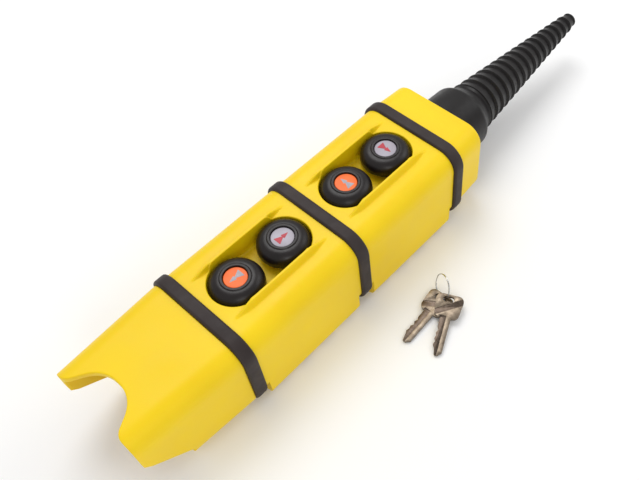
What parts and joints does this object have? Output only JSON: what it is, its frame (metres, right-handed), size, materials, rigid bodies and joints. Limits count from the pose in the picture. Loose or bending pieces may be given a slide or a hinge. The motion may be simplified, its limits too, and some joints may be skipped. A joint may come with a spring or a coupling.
{
  "type": "pendant control station",
  "caption": "Hand-held pendant control station with paired round double-step push buttons, key switch under a hood, ribbed cable sleeve and loose keys on a ring.",
  "frame": {"origin": "on the plane the back grips rest on, midway between the two button modules and on the housing's middle plane", "axes": "+Y along the housing towards the cable sleeve, +Z out of the button face, +X across it"},
  "size_m": [0.1523, 0.49, 0.0747],
  "materials": {
    "yellow_housing": "satin moulded glass-filled plastic",
    "seal_rubber": "matt moulded rubber",
    "cap_rubber": "satin rubber",
    "orange_insert": "satin moulded plastic with a grey double arrow",
    "grey_insert": "satin moulded plastic with a crimson double arrow",
    "inner_plastic": "black moulded plastic",
    "contact_plastic": "light grey moulded plastic",
    "zinc_steel": "zinc plated steel",
    "spring_steel": "drawn spring wire",
    "nickel_brass": "nickel plated brass",
    "lock_chrome": "bright chrome plated zinc",
    "sleeve_rubber": "satin moulded rubber",
    "key_nickel": "worn warm nickel plate",
    "ring_steel": "bright wire"
  },
  "bodies": {
    "housing": {"hood": "yellow_housing", "head_cap": "yellow_housing", "lower_module": "yellow_housing", "upper_module": "yellow_housing", "lower_band": "seal_rubber", "middle_band": "seal_rubber", "upper_band": "seal_rubber", "lower_contact_rail": "zinc_steel", "upper_contact_rail": "zinc_steel", "terminal_screws": "nickel_brass", "tie_rods": "zinc_steel", "tie_rod_nuts": "zinc_steel", "key_switch_body": "lock_chrome", "key_switch_nut": "zinc_steel", "key_switch_contacts": "contact_plastic", "cable_sleeve": "sleeve_rubber", "sleeve_ring": "zinc_steel", "cable_clamp_saddle": "inner_plastic", "cable_clamp_bar": "inner_plastic", "cable_clamp_screws": "zinc_steel", "down_button_bush": "inner_plastic", "down_button_nut": "inner_plastic", "down_button_spring": "spring_steel", "down_contact_block": "contact_plastic", "up_button_bush": "inner_plastic", "up_button_nut": "inner_plastic", "up_button_spring": "spring_steel", "up_contact_block": "contact_plastic", "left_button_bush": "inner_plastic", "left_button_nut": "inner_plastic", "left_button_spring": "spring_steel", "left_contact_block": "contact_plastic", "right_button_bush": "inner_plastic", "right_button_nut": "inner_plastic", "right_button_spring": "spring_steel", "right_contact_block": "contact_plastic"},
    "key_rotor": {"key_switch_rotor": "lock_chrome"},
    "ring": {"key_ring": "ring_steel"},
    "lower_key": {"key_under": "key_nickel"},
    "upper_key": {"key_over": "key_nickel"},
    "down_button": {"down_button_cap": "cap_rubber", "down_button_insert": "orange_insert", "down_button_plunger": "inner_plastic"},
    "up_button": {"up_button_cap": "cap_rubber", "up_button_insert": "grey_insert", "up_button_plunger": "inner_plastic"},
    "left_button": {"left_button_cap": "cap_rubber", "left_button_insert": "orange_insert", "left_button_plunger": "inner_plastic"},
    "right_button": {"right_button_cap": "cap_rubber", "right_button_insert": "grey_insert", "right_button_plunger": "inner_plastic"}
  },
  "joints": [
    {"name": "down_press", "type": "slide", "parent": "housing", "child": "down_button", "axis": [0, 0, -1], "range_m": [0, 0.0045], "stiffness_N_per_m": 1200, "springref_m": -0.0025, "deforming": ["down_button_spring"]},
    {"name": "up_press", "type": "slide", "parent": "housing", "child": "up_button", "axis": [0, 0, -1], "range_m": [0, 0.0045], "stiffness_N_per_m": 1200, "springref_m": -0.0025, "deforming": ["up_button_spring"]},
    {"name": "left_press", "type": "slide", "parent": "housing", "child": "left_button", "axis": [0, 0, -1], "range_m": [0, 0.0045], "stiffness_N_per_m": 1200, "springref_m": -0.0025, "deforming": ["left_button_spring"]},
    {"name": "right_press", "type": "slide", "parent": "housing", "child": "right_button", "axis": [0, 0, -1], "range_m": [0, 0.0045], "stiffness_N_per_m": 1200, "springref_m": -0.0025, "deforming": ["right_button_spring"]},
    {"name": "key_turn", "type": "hinge", "parent": "housing", "child": "key_rotor", "pos_m": [0, -0.11, 0.039], "axis": [0, 1, 0], "range_deg": [0, 90]},
    {"name": "ring_lift", "type": "slide", "parent": "housing", "child": "ring", "axis": [0, 0, 1], "range_m": [0, 0.15]},
    {"name": "lower_key_swing", "type": "hinge", "parent": "ring", "child": "lower_key", "pos_m": [0.08146, 0.03637, 0.00257], "axis": [0, 0, 1], "range_deg": [-5, 5]},
    {"name": "upper_key_swing", "type": "hinge", "parent": "ring", "child": "upper_key", "pos_m": [0.08425, 0.03606, 0.00597], "axis": [0, 0, 1], "range_deg": [-5, 5]}
  ]
}
